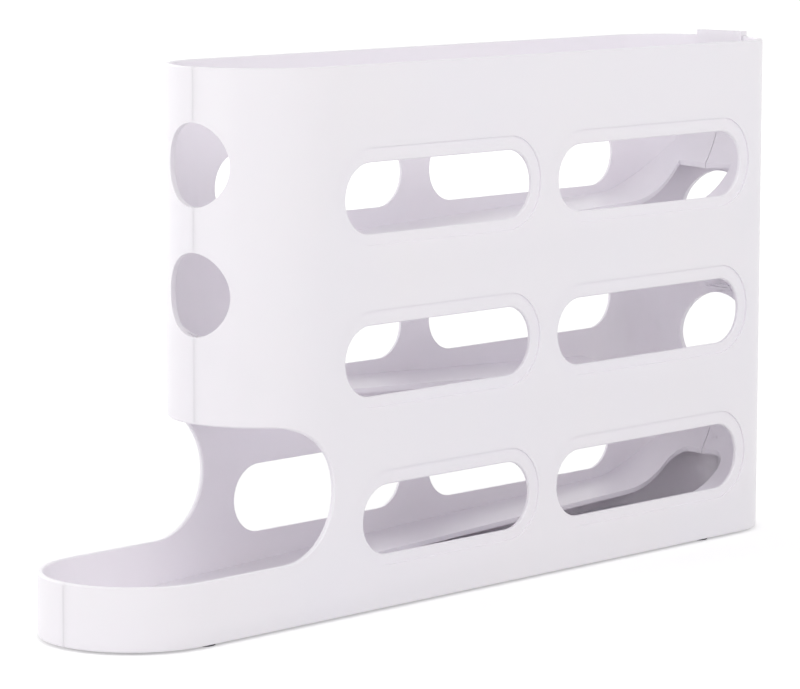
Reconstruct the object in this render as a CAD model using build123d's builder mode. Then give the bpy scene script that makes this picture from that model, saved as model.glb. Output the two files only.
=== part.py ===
from build123d import *
import os

# Gravity-feed egg dispenser: a slab-shaped casing with an open top over a long, round-nosed tray.
# Two mirror-image moulded half shells meet on the centre plane, and each carries its own half of
# the ramps. Eggs go in at the top, roll down three zig-zag ramps and come to rest in the tray.
# Sizes are in millimetres. +X points to the back, +Z up, and the origin is the bottom centre.
# Lengths are counted back from the casing's front face, and heights up from the shells' underside.

# Casing
casing_length = 321.3
casing_height = 210.0
width = 73.5
wall = 2.2
floor_thickness = 2.2
rear_corner_radius = 31.0

# Tray in front of the casing, and the C-shaped mouth above it, which ends just behind the half round
nose_reach = 67.3
tray_rim_height = 23.9
mouth_top = 75.0
mouth_behind_half_round = 1.55

# Windows in the side walls, each in a shallow recess
window_height = 27.4
window_levels = [34.3, 96.6, 159.0]
front_window_start = 45.4
low_front_window_start = 55.2
front_window_end = 152.4
rear_window_start = 169.3
rear_window_end = 287.3
recess_margin = 5.0
recess_lift = 0.8
recess_depth = 0.7

# Round holes in the end walls, cut half in each shell, deep enough to pass the round wall and the
# quarter pipe behind it
front_hole_diameter = 32.0
front_hole_levels = [124.2, 173.2]
rear_hole_diameter = 37.0
rear_hole_levels = [79.1, 132.5]
end_hole_depth = 10.0

# Ramps: slotted ledges that turn up into a quarter pipe at their high end
ledge_thickness = 2.0
ledge_dish = 4.5
pipe_radius = 41.0
slot_width = 28.8
slot_setback = 9.7
slot_corner_radius = 7.5
ledge_tip_radius = 6.0
top_ramp_free_end = 54.0
top_ramp_free_height = 134.8
top_ramp_slope = 0.0322
middle_ramp_free_end = 268.0
middle_ramp_free_height = 71.4
middle_ramp_slope = 0.0455
bottom_ramp_front_height = 6.5
bottom_ramp_slope = 0.0358
bottom_slot_start = 46.0
ledge_seam_gap = 0.15

# Seam: a tongue on the left half slides into a rebate in the right half's walls
tongue_reach = 1.3
lap_clearance = 0.1

# Snap hooks across the seam: an arm on the left half, a catch rib on the right half
snap_thickness = 1.0
snap_width = 3.0
snap_arm_gap = 1.0
snap_arm_length = 12.5
front_snap_arm_length = 7.5
rear_snap_arm_length = 9.0
snap_root_length = 5.0
snap_nose = 0.8
snap_nose_length = 1.2
snap_clearance = 0.1
rear_snap_level = 99.9
front_snap_level = 148.7
floor_snap_places = [144.0, 254.0]

# Clip over the rear rim
clip_width = 24.0
clip_wall = 0.9
clip_top = 2.1
clip_leg = 8.0
clip_clearance = 0.1

# Anti-slip pads under the tray and the casing
pad_diameter = 9.0
pad_drop = 1.2
pad_recess_depth = 0.5
pad_clearance = 0.2
pad_edge_distance = 2.0
front_pad_place = -25.0
rear_pad_place = 268.0

# Bevelled edges
rim_bevel = 0.5
mouth_bevel = 0.5
window_bevel = 0.4

overall_length = nose_reach + casing_length + clip_clearance + clip_wall
casing_front = nose_reach - overall_length / 2
nose_centre = width / 2 - nose_reach
mouth_depth = width / 2 + mouth_behind_half_round
mouth_middle = (tray_rim_height + mouth_top) / 2
mouth_radius = (mouth_top - tray_rim_height) / 2
cavity_back = casing_length - wall
over = 5.0
near = 0.01

datum = Vector(casing_front, 0, pad_drop)
plan = Plane(origin=datum)
side = Plane(origin=datum, x_dir=(1, 0, 0), z_dir=(0, -1, 0))
front = Plane(origin=datum, x_dir=(0, 1, 0), z_dir=(1, 0, 0))


def outline(round_centre, inset):
    """A plan with a half-round front end and rounded rear corners, moved inwards by the inset."""
    with BuildSketch() as plan_view:
        with Locations((round_centre, 0)):
            Rectangle(casing_length - round_centre - inset, width - 2 * inset,
                      align=(Align.MIN, Align.CENTER))
        fillet(plan_view.vertices().group_by(Axis.X)[-1], rear_corner_radius - inset)
        with Locations((round_centre, 0)):
            Circle(width / 2 - inset)
    return plan_view.sketch


def casing_outline(inset):
    """Plan of the casing, whose front wall is a half cylinder across the whole width."""
    return outline(width / 2, inset)


def tray_outline(inset):
    """Plan of the lower body, whose straight sides run forward to the round nose."""
    return outline(nose_centre, inset)


def body(inset, rise):
    """The whole form with its walls moved inwards by the inset and its floor raised."""
    with BuildPart() as form:
        with BuildSketch(plan.offset(rise)):
            add(tray_outline(inset))
        extrude(amount=mouth_middle - rise)
        with BuildSketch(plan.offset(mouth_middle)):
            add(casing_outline(inset))
        extrude(amount=casing_height - mouth_middle)
    return form.part


def ramp_section(free, corner, lowering):
    """A ledge seen from the side: its slope, the quarter pipe and a root inside the end wall."""
    inwards = wall / 2 if corner[0] > free[0] else -wall / 2
    root_top = corner[1] + pipe_radius + ledge_thickness
    underside = lowering + ledge_thickness
    with BuildSketch() as section:
        with BuildLine():
            upper = FilletPolyline(
                (free[0], free[1] - lowering),
                (corner[0], corner[1] - lowering),
                (corner[0], root_top),
                radius=pipe_radius + lowering)
            lower = FilletPolyline(
                (free[0], free[1] - underside),
                (corner[0] + inwards, corner[1] - underside),
                (corner[0] + inwards, root_top),
                radius=pipe_radius + underside)
            Line(upper @ 0, lower @ 0)
            Line(upper @ 1, lower @ 1)
        make_face()
    return section.sketch


def ledge(free, corner, plan_view):
    """The right half of a ramp, lofted from the side wall to the centre plane and cut to its plan."""
    with BuildPart() as piece:
        with BuildSketch(side.offset(width / 2 - wall / 2)):
            add(ramp_section(free, corner, 0))
        with BuildSketch(side):
            add(ramp_section(free, corner, ledge_dish))
        loft(ruled=True)
        with BuildSketch(plan):
            add(plan_view)
        extrude(amount=casing_height, mode=Mode.INTERSECT)
    return piece.part


def open_ramp_outline(free_end, far_end, slot_end):
    """Plan of a ramp whose slot is open at the edge where the eggs drop off."""
    length = far_end - free_end
    towards = 1 if length > 0 else -1
    with BuildSketch() as ramp:
        with Locations(((free_end + far_end) / 2, 0)):
            Rectangle(abs(length), width)
        with Locations(((free_end + slot_end) / 2, 0)):
            Rectangle(abs(slot_end - free_end), slot_width, mode=Mode.SUBTRACT)
        columns = ramp.vertices().group_by(Axis.X)
        tips = columns[0 if towards > 0 else -1].sort_by(Axis.Y)[1:3]
        inner_corners = columns[1 if towards > 0 else -2]
        fillet(tips, ledge_tip_radius)
        fillet(inner_corners, slot_corner_radius)
    return ramp.sketch


def bottom_ramp_outline():
    """Plan of the bottom ramp, whose slot ends in a full round before the tray."""
    slot_end = cavity_back - slot_setback
    round_centre = bottom_slot_start + slot_width / 2
    with BuildSketch() as slot:
        with Locations((round_centre, 0)):
            Rectangle(slot_end - round_centre, slot_width, align=(Align.MIN, Align.CENTER))
        fillet(slot.vertices().group_by(Axis.X)[-1], slot_corner_radius)
        with Locations((round_centre, 0)):
            Circle(slot_width / 2)
    with BuildSketch() as ramp:
        add(tray_outline(0))
        add(slot.sketch, mode=Mode.SUBTRACT)
    return ramp.sketch


def window(start, end, level):
    """The space of one window and its recess in the right side wall, with a bevelled inner lip."""
    middle = (start + end) / 2
    with BuildPart() as space:
        with BuildSketch(side.offset(width / 2)):
            with Locations((middle, level + recess_lift)):
                SlotOverall(end - start + 2 * recess_margin, window_height + 2 * recess_margin)
        extrude(amount=-recess_depth)
        with BuildSketch(side.offset(width / 2)):
            with Locations((middle, level)):
                SlotOverall(end - start, window_height)
        extrude(amount=-2 * wall)
        lip_centre = datum + Vector(middle, recess_depth - width / 2, level)
        lip_edges = space.edges().filter_by_position(Axis.Y, lip_centre.Y - near, lip_centre.Y + near)
        chamfer(lip_edges.sort_by_distance(lip_centre)[:2], window_bevel)
    return space.part


def snap_places():
    """The plane and arm length of each snap: x along the seam, y to the left half, z off the wall."""
    rear = Plane(origin=datum + Vector(cavity_back, 0, rear_snap_level), x_dir=(0, 0, 1), z_dir=(-1, 0, 0))
    nose = Plane(origin=datum + Vector(wall, 0, front_snap_level), x_dir=(0, 0, -1), z_dir=(1, 0, 0))
    places = [(rear, rear_snap_arm_length), (nose, front_snap_arm_length)]
    for place in floor_snap_places:
        places.append((Plane(origin=datum + Vector(place, 0, floor_thickness)), snap_arm_length))
    return places


# The ledges of the right half, trimmed so that their roots stay inside the walls and that a hairline
# gap stays open between the halves
top_ramp_rise = (cavity_back - top_ramp_free_end) * top_ramp_slope
middle_ramp_rise = (middle_ramp_free_end - wall) * middle_ramp_slope
bottom_ramp_tip = -nose_reach
top_ledge = ledge(
    (top_ramp_free_end, top_ramp_free_height),
    (cavity_back, top_ramp_free_height + top_ramp_rise),
    open_ramp_outline(top_ramp_free_end, casing_length, cavity_back - slot_setback))
middle_ledge = ledge(
    (middle_ramp_free_end, middle_ramp_free_height),
    (wall, middle_ramp_free_height + middle_ramp_rise),
    open_ramp_outline(middle_ramp_free_end, 0, wall + slot_setback))
bottom_ledge = ledge(
    (bottom_ramp_tip, bottom_ramp_front_height + bottom_ramp_tip * bottom_ramp_slope),
    (cavity_back, bottom_ramp_front_height + cavity_back * bottom_ramp_slope),
    bottom_ramp_outline())

with BuildPart() as ledges:
    add(top_ledge)
    add(middle_ledge)
    add(bottom_ledge)
    add(body(wall / 2, floor_thickness / 2), mode=Mode.INTERSECT)
    with BuildSketch(side):
        with Locations((casing_length / 2, casing_height / 2)):
            Rectangle(2 * overall_length, 2 * casing_height)
    extrude(amount=ledge_seam_gap, mode=Mode.SUBTRACT)

# The mouth and the end holes, which are cut alike in both halves
with BuildPart() as openings:
    with BuildSketch(side):
        with Locations((mouth_depth - mouth_radius, mouth_middle)):
            Circle(mouth_radius)
            Rectangle(nose_reach + mouth_depth, 2 * mouth_radius, align=(Align.MAX, Align.CENTER))
    extrude(amount=width, both=True)
    with BuildSketch(front.offset(-over)):
        with Locations([(0, level) for level in front_hole_levels]):
            Circle(front_hole_diameter / 2)
    extrude(amount=over + end_hole_depth)
    with BuildSketch(front.offset(casing_length + over)):
        with Locations([(0, level) for level in rear_hole_levels]):
            Circle(rear_hole_diameter / 2)
    extrude(amount=-over - end_hole_depth)

# The walls and floor of both halves together, with bevelled edges at the rim and the mouth
with BuildPart() as skin:
    add(body(0, 0))
    add(body(wall, floor_thickness), mode=Mode.SUBTRACT)
    chamfer(skin.edges().group_by(Axis.Z)[-1], rim_bevel)
    add(openings.part, mode=Mode.SUBTRACT)
    tray_rim = datum.Z + tray_rim_height
    chamfer(skin.edges().filter_by_position(Axis.Z, tray_rim - near, tray_rim + near), mouth_bevel)

# The right half's blank: walls, floor, ledges and windows
with BuildPart() as blank:
    add(skin.part)
    split(bisect_by=side, keep=Keep.TOP)
    add(ledges.part)
    add(openings.part, mode=Mode.SUBTRACT)
    for level in window_levels:
        start = low_front_window_start if level == min(window_levels) else front_window_start
        add(window(start, front_window_end, level), mode=Mode.SUBTRACT)
        add(window(rear_window_start, rear_window_end, level), mode=Mode.SUBTRACT)
    pad_row = width / 2 - pad_edge_distance - pad_diameter / 2
    with BuildSketch(plan):
        with Locations((front_pad_place, -pad_row), (rear_pad_place, -pad_row)):
            Circle(pad_diameter / 2 + pad_clearance)
    extrude(amount=pad_recess_depth, mode=Mode.SUBTRACT)


def lap(clearance, reach):
    """The inner half of the walls and floor, from the seam into the right half."""
    with BuildPart() as strip:
        add(body(wall / 2 + clearance, floor_thickness / 2 + clearance))
        add(body(wall, floor_thickness), mode=Mode.SUBTRACT)
        with BuildSketch(side):
            with Locations((casing_length / 2, casing_height / 2)):
                Rectangle(2 * overall_length, 2 * casing_height)
        extrude(amount=reach, mode=Mode.INTERSECT)
    return strip.part


# Right half shell: the rebate for the tongue, and the catch ribs
with BuildPart() as right_half_shell:
    add(blank.part)
    add(lap(0, tongue_reach + lap_clearance), mode=Mode.SUBTRACT)
    for place, arm_length in snap_places():
        catch_start = tongue_reach + lap_clearance
        catch_end = arm_length - snap_nose_length - snap_clearance
        with BuildSketch(place.offset(-wall / 4)):
            with Locations((snap_thickness / 2 + snap_clearance, -catch_start)):
                Rectangle(snap_thickness, catch_end - catch_start, align=(Align.MIN, Align.MAX))
        extrude(amount=snap_width + wall / 4)

# Left half shell: the tongue, and the snap arms with their noses
with BuildPart() as tongue:
    add(lap(lap_clearance, tongue_reach))
    add(skin.part, mode=Mode.INTERSECT)

with BuildPart() as left_half_shell:
    add(mirror(blank.part, about=Plane.XZ))
    add(tongue.part)
    for place, arm_length in snap_places():
        with BuildSketch(place.offset(-wall / 4)):
            Rectangle(snap_thickness, snap_root_length, align=(Align.CENTER, Align.MIN))
        extrude(amount=snap_width + wall / 4)
        with BuildSketch(place.offset(snap_arm_gap)):
            Rectangle(snap_thickness, arm_length, align=(Align.CENTER, Align.MAX))
            with Locations((snap_thickness / 2, -arm_length)):
                Rectangle(snap_nose, snap_nose_length, align=(Align.MIN, Align.MIN))
        extrude(amount=snap_width - snap_arm_gap)

# Clip over the rear rim, which holds the two halves together at the top
with BuildPart() as rear_rim_clip:
    with BuildSketch(plan.offset(casing_height - clip_leg)):
        add(casing_outline(-clip_clearance - clip_wall))
        add(casing_outline(wall + clip_clearance + clip_wall), mode=Mode.SUBTRACT)
        with Locations((casing_length, 0)):
            Rectangle(2 * rear_corner_radius, clip_width, mode=Mode.INTERSECT)
    extrude(amount=clip_leg + clip_top)
    with BuildSketch(plan.offset(casing_height - clip_leg)):
        add(casing_outline(-clip_clearance))
        add(casing_outline(wall + clip_clearance), mode=Mode.SUBTRACT)
    extrude(amount=clip_leg, mode=Mode.SUBTRACT)


def pad(name, place, row):
    """One anti-slip pad, its upper part sunk in a shallow recess."""
    with BuildPart() as piece:
        with BuildSketch(plan.offset(-pad_drop)):
            with Locations((place, row)):
                Circle(pad_diameter / 2)
        extrude(amount=pad_drop + pad_recess_depth)
    piece.part.label = name
    return piece.part


right_half_shell.part.label = "right_half_shell"
left_half_shell.part.label = "left_half_shell"
rear_rim_clip.part.label = "rear_rim_clip"
parts = [right_half_shell.part, left_half_shell.part, rear_rim_clip.part]
for end, place in (("front", front_pad_place), ("rear", rear_pad_place)):
    for hand, row in (("right", -pad_row), ("left", pad_row)):
        parts.append(pad(f"{end}_{hand}_pad", place, row))

os.makedirs("parts", exist_ok=True)
for part in parts:
    export_step(part, f"parts/{part.label}.step")
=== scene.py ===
import math

import bmesh
import bpy
from mathutils import Matrix, Vector

# A white egg dispenser on white paper. The solids carry every shape that shows, so this script
# gives them their moulded plastic and rubber, and sets the floor, the light and the camera.

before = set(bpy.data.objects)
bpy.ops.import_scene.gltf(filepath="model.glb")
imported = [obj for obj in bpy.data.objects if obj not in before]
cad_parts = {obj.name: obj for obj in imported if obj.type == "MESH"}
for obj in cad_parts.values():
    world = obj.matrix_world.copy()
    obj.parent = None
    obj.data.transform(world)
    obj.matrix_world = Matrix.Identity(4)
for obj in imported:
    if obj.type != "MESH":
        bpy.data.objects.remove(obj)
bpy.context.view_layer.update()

MM = 0.001

# The paper floor in metres, and how brightly it glows for the camera near the object and far away
FLOOR_RADIUS = 14.0
NEAR_RADIUS = 0.6
FAR_RADIUS = 4 * NEAR_RADIUS
NEAR_GLOW = 0.34
FAR_GLOW = 0.62


def colour(hex_code):
    """An sRGB hex colour as the linear colour that Blender's sockets take."""
    channels = [int(hex_code[i:i + 2], 16) / 255 for i in (1, 3, 5)]
    linear = [c / 12.92 if c <= 0.04045 else ((c + 0.055) / 1.055) ** 2.4 for c in channels]
    return (*linear, 1.0)


def per_metre(size_mm):
    """The texture scale that repeats a pattern about once every size_mm."""
    return 1 / (size_mm * MM)


def new_material(name):
    """A material and its node tree, emptied."""
    material = bpy.data.materials.new(name)
    material.use_nodes = True
    material.node_tree.nodes.clear()
    return material, material.node_tree


def add_node(tree, kind, settings=None, **inputs):
    """One node with its settings and its inputs, each set to a value or linked to a socket.

    An input goes by its name with underscores for spaces, or by its number, as in in0.
    """
    node = tree.nodes.new(kind)
    for key, value in (settings or {}).items():
        setattr(node, key, value)
    for key, value in inputs.items():
        numbered = key.startswith("in") and key[2:].isdigit()
        socket = node.inputs[int(key[2:]) if numbered else key.replace("_", " ")]
        if isinstance(value, bpy.types.NodeSocket):
            tree.links.new(value, socket)
        else:
            socket.default_value = value
    return node


def noise(tree, place, size_mm, detail):
    """A noise pattern whose blobs are about size_mm across."""
    return add_node(tree, "ShaderNodeTexNoise", Vector=place, Scale=per_metre(size_mm),
                    Detail=detail, Roughness=0.5).outputs["Fac"]


def spread(tree, value, low, high, start=0.3, end=0.7):
    """Stretches a value that runs from start to end, by default a noise, to run from low to high."""
    return add_node(tree, "ShaderNodeMapRange", Value=value, From_Min=start, From_Max=end,
                    To_Min=low, To_Max=high).outputs["Result"]


def mottle(tree, pattern, first_hex, second_hex):
    """Two colours in blobs that follow a noise pattern and run softly into each other."""
    return add_node(tree, "ShaderNodeMix", {"data_type": "RGBA"}, in0=spread(tree, pattern, 0, 1),
                    in6=colour(first_hex), in7=colour(second_hex)).outputs[2]


def either(tree, first, second):
    """1 where one or both of two sockets that hold 0 or 1 hold 1."""
    return add_node(tree, "ShaderNodeMath", {"operation": "MAXIMUM"},
                    in0=first, in1=second).outputs[0]


def moulded_polypropylene():
    """Injection-moulded polypropylene: white with a soft gloss, slightly wavy, finely grained."""
    material, tree = new_material("moulded_polypropylene")
    place = add_node(tree, "ShaderNodeTexCoord").outputs["Object"]

    # Pigment never mixes quite evenly: a cooler and a warmer white drift over each other
    base = mottle(tree, noise(tree, place, 70, 3), "#f8f4fc", "#faf5fb")

    # The mould's polish leaves patches of slightly different gloss
    gloss = spread(tree, noise(tree, place, 45, 4), 0.29, 0.37)

    # Cooling leaves long shallow waves; the mould's fine grain is drawn coarser than the real
    # 0.1 mm so that it shows
    waves = add_node(tree, "ShaderNodeBump", Height=noise(tree, place, 55, 1),
                     Strength=0.25, Distance=0.5 * MM).outputs["Normal"]
    grain = add_node(tree, "ShaderNodeBump", Height=noise(tree, place, 0.7, 2),
                     Strength=0.12, Distance=0.03 * MM, Normal=waves).outputs["Normal"]

    # The 2.2 mm walls are milky: some light comes through them and softens the shade inside
    plastic = add_node(tree, "ShaderNodeBsdfPrincipled", Base_Color=base, Roughness=gloss,
                       IOR=1.49, Normal=grain, Subsurface_Weight=0.3, Subsurface_Scale=1.0,
                       Subsurface_Radius=(2.6 * MM, 2.4 * MM, 2.5 * MM))
    add_node(tree, "ShaderNodeOutputMaterial", Surface=plastic.outputs["BSDF"])
    return material


def moulded_elastomer():
    """Soft moulded elastomer: dark grey, matte, with a fine dimpled skin."""
    material, tree = new_material("moulded_elastomer")
    place = add_node(tree, "ShaderNodeTexCoord").outputs["Object"]
    base = mottle(tree, noise(tree, place, 1.2, 3), "#5d5c60", "#6f6e72")
    skin = add_node(tree, "ShaderNodeBump", Height=noise(tree, place, 0.5, 2),
                    Strength=0.4, Distance=0.05 * MM).outputs["Normal"]
    rubber = add_node(tree, "ShaderNodeBsdfPrincipled", Base_Color=base, Roughness=0.75,
                      IOR=1.52, Normal=skin)
    add_node(tree, "ShaderNodeOutputMaterial", Surface=rubber.outputs["BSDF"])
    return material


def white_paper():
    """Matte white studio paper, with a glow for the camera and reflections that evens it to white."""
    material, tree = new_material("white_paper")
    place = add_node(tree, "ShaderNodeTexCoord").outputs["Object"]
    tone = mottle(tree, noise(tree, place, 6, 3), "#f0f0f0", "#f3f3f3")
    paper = add_node(tree, "ShaderNodeBsdfDiffuse", Color=tone)

    # The lamps light only the floor round the object, so the glow grows with the distance from it
    distance = add_node(tree, "ShaderNodeVectorMath", {"operation": "LENGTH"}, in0=place)
    strength = spread(tree, distance.outputs["Value"], NEAR_GLOW, FAR_GLOW, NEAR_RADIUS, FAR_RADIUS)
    glowing = add_node(tree, "ShaderNodeEmission", Color=colour("#ffffff"), Strength=strength)
    dark = add_node(tree, "ShaderNodeEmission", Color=colour("#000000"), Strength=0.0)

    rays = add_node(tree, "ShaderNodeLightPath").outputs
    seen = either(tree, rays["Is Camera Ray"], rays["Is Glossy Ray"])
    glow = add_node(tree, "ShaderNodeMixShader", in0=seen,
                    in1=dark.outputs[0], in2=glowing.outputs[0])
    both = add_node(tree, "ShaderNodeAddShader", in0=paper.outputs[0], in1=glow.outputs[0])
    add_node(tree, "ShaderNodeOutputMaterial", Surface=both.outputs[0])
    return material


def floor():
    """A round floor, wide enough to fill the picture from any side."""
    mesh = bmesh.new()
    bmesh.ops.create_circle(mesh, cap_ends=True, segments=96, radius=FLOOR_RADIUS)
    data = bpy.data.meshes.new("studio_floor")
    mesh.to_mesh(data)
    mesh.free()
    data.materials.append(white_paper())
    obj = bpy.data.objects.new("studio_floor", data)
    bpy.context.scene.collection.objects.link(obj)


def white_surround(light, seen):
    """Even light from all round, and plain white wherever the camera or a reflection sees it."""
    world = bpy.data.worlds.new("white_surround")
    bpy.context.scene.world = world
    world.use_nodes = True
    tree = world.node_tree
    tree.nodes.clear()
    rays = add_node(tree, "ShaderNodeLightPath").outputs
    direct = either(tree, rays["Is Camera Ray"], rays["Is Glossy Ray"])
    dome = add_node(tree, "ShaderNodeBackground", Color=colour("#ffffff"), Strength=light)
    backdrop = add_node(tree, "ShaderNodeBackground", Color=colour("#ffffff"), Strength=seen)
    mixed = add_node(tree, "ShaderNodeMixShader",
                     in0=either(tree, direct, rays["Is Transmission Ray"]),
                     in1=dome.outputs[0], in2=backdrop.outputs[0])
    add_node(tree, "ShaderNodeOutputWorld", Surface=mixed.outputs[0])


def softbox(name, place, target, width, height, power):
    """A rectangular soft light that faces the target."""
    data = bpy.data.lights.new(name, "AREA")
    data.shape = "RECTANGLE"
    data.size = width
    data.size_y = height
    data.energy = power
    lamp = bpy.data.objects.new(name, data)
    lamp.location = place
    lamp.rotation_euler = (Vector(target) - Vector(place)).to_track_quat("-Z", "Y").to_euler()
    bpy.context.scene.collection.objects.link(lamp)


def camera(eye, target, focal_length, roll):
    """The photograph's camera, found by fitting the object's windows, holes and edges."""
    data = bpy.data.cameras.new("photo_camera")
    data.sensor_width = 36
    data.lens = focal_length
    data.clip_start = 0.05
    data.clip_end = 60
    view = bpy.data.objects.new("photo_camera", data)
    turn = (Vector(target) - Vector(eye)).to_track_quat("-Z", "Y").to_matrix()
    view.matrix_world = Matrix.Translation(eye) @ (turn @ Matrix.Rotation(roll, 3, "Z")).to_4x4()
    bpy.context.scene.collection.objects.link(view)
    bpy.context.scene.camera = view


# Finishes
plastic = moulded_polypropylene()
elastomer = moulded_elastomer()
for name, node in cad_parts.items():
    finish = elastomer if name.endswith("_pad") else plastic
    node.data.materials.clear()
    node.data.materials.append(finish)

# Floor and light, bright enough for white plastic to look white without losing its shading
floor()
white_surround(light=0.56, seen=1.0)
softbox("side_softbox", place=(-0.2, -2.0, 1.5), target=(0.0, 0, 0.1),
        width=2.2, height=1.4, power=16.5)
softbox("front_softbox", place=(-1.9, 0.3, 0.5), target=(-0.05, 0, 0.1),
        width=1.4, height=0.8, power=6.5)
softbox("corner_softbox", place=(-1.4, 1.4, 1.0), target=(-0.05, 0, 0.1),
        width=1.6, height=1.4, power=5)
softbox("back_softbox", place=(0.3, 1.9, 0.9), target=(0.05, 0, 0.1),
        width=2.2, height=1.4, power=11)

# Camera
camera(eye=(-1.1124, -1.0175, 0.2974), target=(-0.0131, 0.0, 0.0956),
       focal_length=170.54, roll=math.radians(0.13))

scene = bpy.context.scene
scene.view_settings.view_transform = "Standard"
